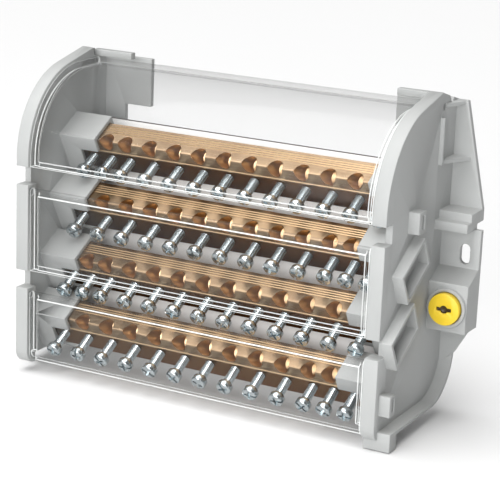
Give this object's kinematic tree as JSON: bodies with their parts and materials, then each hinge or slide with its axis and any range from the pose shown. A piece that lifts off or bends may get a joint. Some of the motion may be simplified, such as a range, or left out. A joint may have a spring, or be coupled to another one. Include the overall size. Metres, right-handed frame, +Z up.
{
  "type": "terminal block",
  "caption": "Stepped power distribution terminal block with tilted brass bars, rows of clamp screws, moulded end plates, hinged clear covers and rail locks.",
  "frame": {"origin": "on the rear mounting plane, half way along the bars, at the height of the rail's middle line", "axes": "+X along the bars to the right as seen from the front, +Y to the rear, out of the mounting face, +Z up"},
  "size_m": [0.24, 0.078, 0.1597],
  "materials": {
    "grey_moulding": "fine matt moulded",
    "white_sheet": "smooth insulating sheet",
    "yellow_moulding": "satin moulded",
    "brass": "drawn, slightly dull",
    "zinc_steel": "bright zinc",
    "clear_cover": "clear polycarbonate"
  },
  "bodies": {
    "base": {"left_end_plate": "grey_moulding", "right_end_plate": "grey_moulding", "back_panel": "white_sheet", "bar_1": "brass", "bar_2": "brass", "bar_3": "brass", "bar_4": "brass", "screws_bar_1": "zinc_steel", "screws_bar_2": "zinc_steel", "screws_bar_3": "zinc_steel", "screws_bar_4": "zinc_steel"},
    "upper_cover": {"upper_cover": "clear_cover"},
    "middle_cover": {"middle_cover": "clear_cover"},
    "lower_cover": {"lower_cover": "clear_cover"},
    "left_lock": {"left_lock": "yellow_moulding", "left_lock_cam": "yellow_moulding"},
    "right_lock": {"right_lock": "yellow_moulding", "right_lock_cam": "yellow_moulding"}
  },
  "joints": [
    {"name": "upper_cover_hinge", "type": "hinge", "parent": "base", "child": "upper_cover", "pos_m": [0, -0.018, 0.0737], "axis": [-1, 0, 0], "range_deg": [0, 75]},
    {"name": "middle_cover_hinge", "type": "hinge", "parent": "base", "child": "middle_cover", "pos_m": [0, -0.075, 0.0153], "axis": [-1, 0, 0], "range_deg": [0, 95]},
    {"name": "lower_cover_hinge", "type": "hinge", "parent": "base", "child": "lower_cover", "pos_m": [0, -0.075, -0.0379], "axis": [-1, 0, 0], "range_deg": [0, 95]},
    {"name": "left_lock_turn", "type": "hinge", "parent": "base", "child": "left_lock", "pos_m": [-0.11, -0.023, -0.021], "axis": [0, -1, 0], "range_deg": [0, 90]},
    {"name": "right_lock_turn", "type": "hinge", "parent": "base", "child": "right_lock", "pos_m": [0.11, -0.023, -0.021], "axis": [0, 1, 0], "range_deg": [0, 90]}
  ]
}
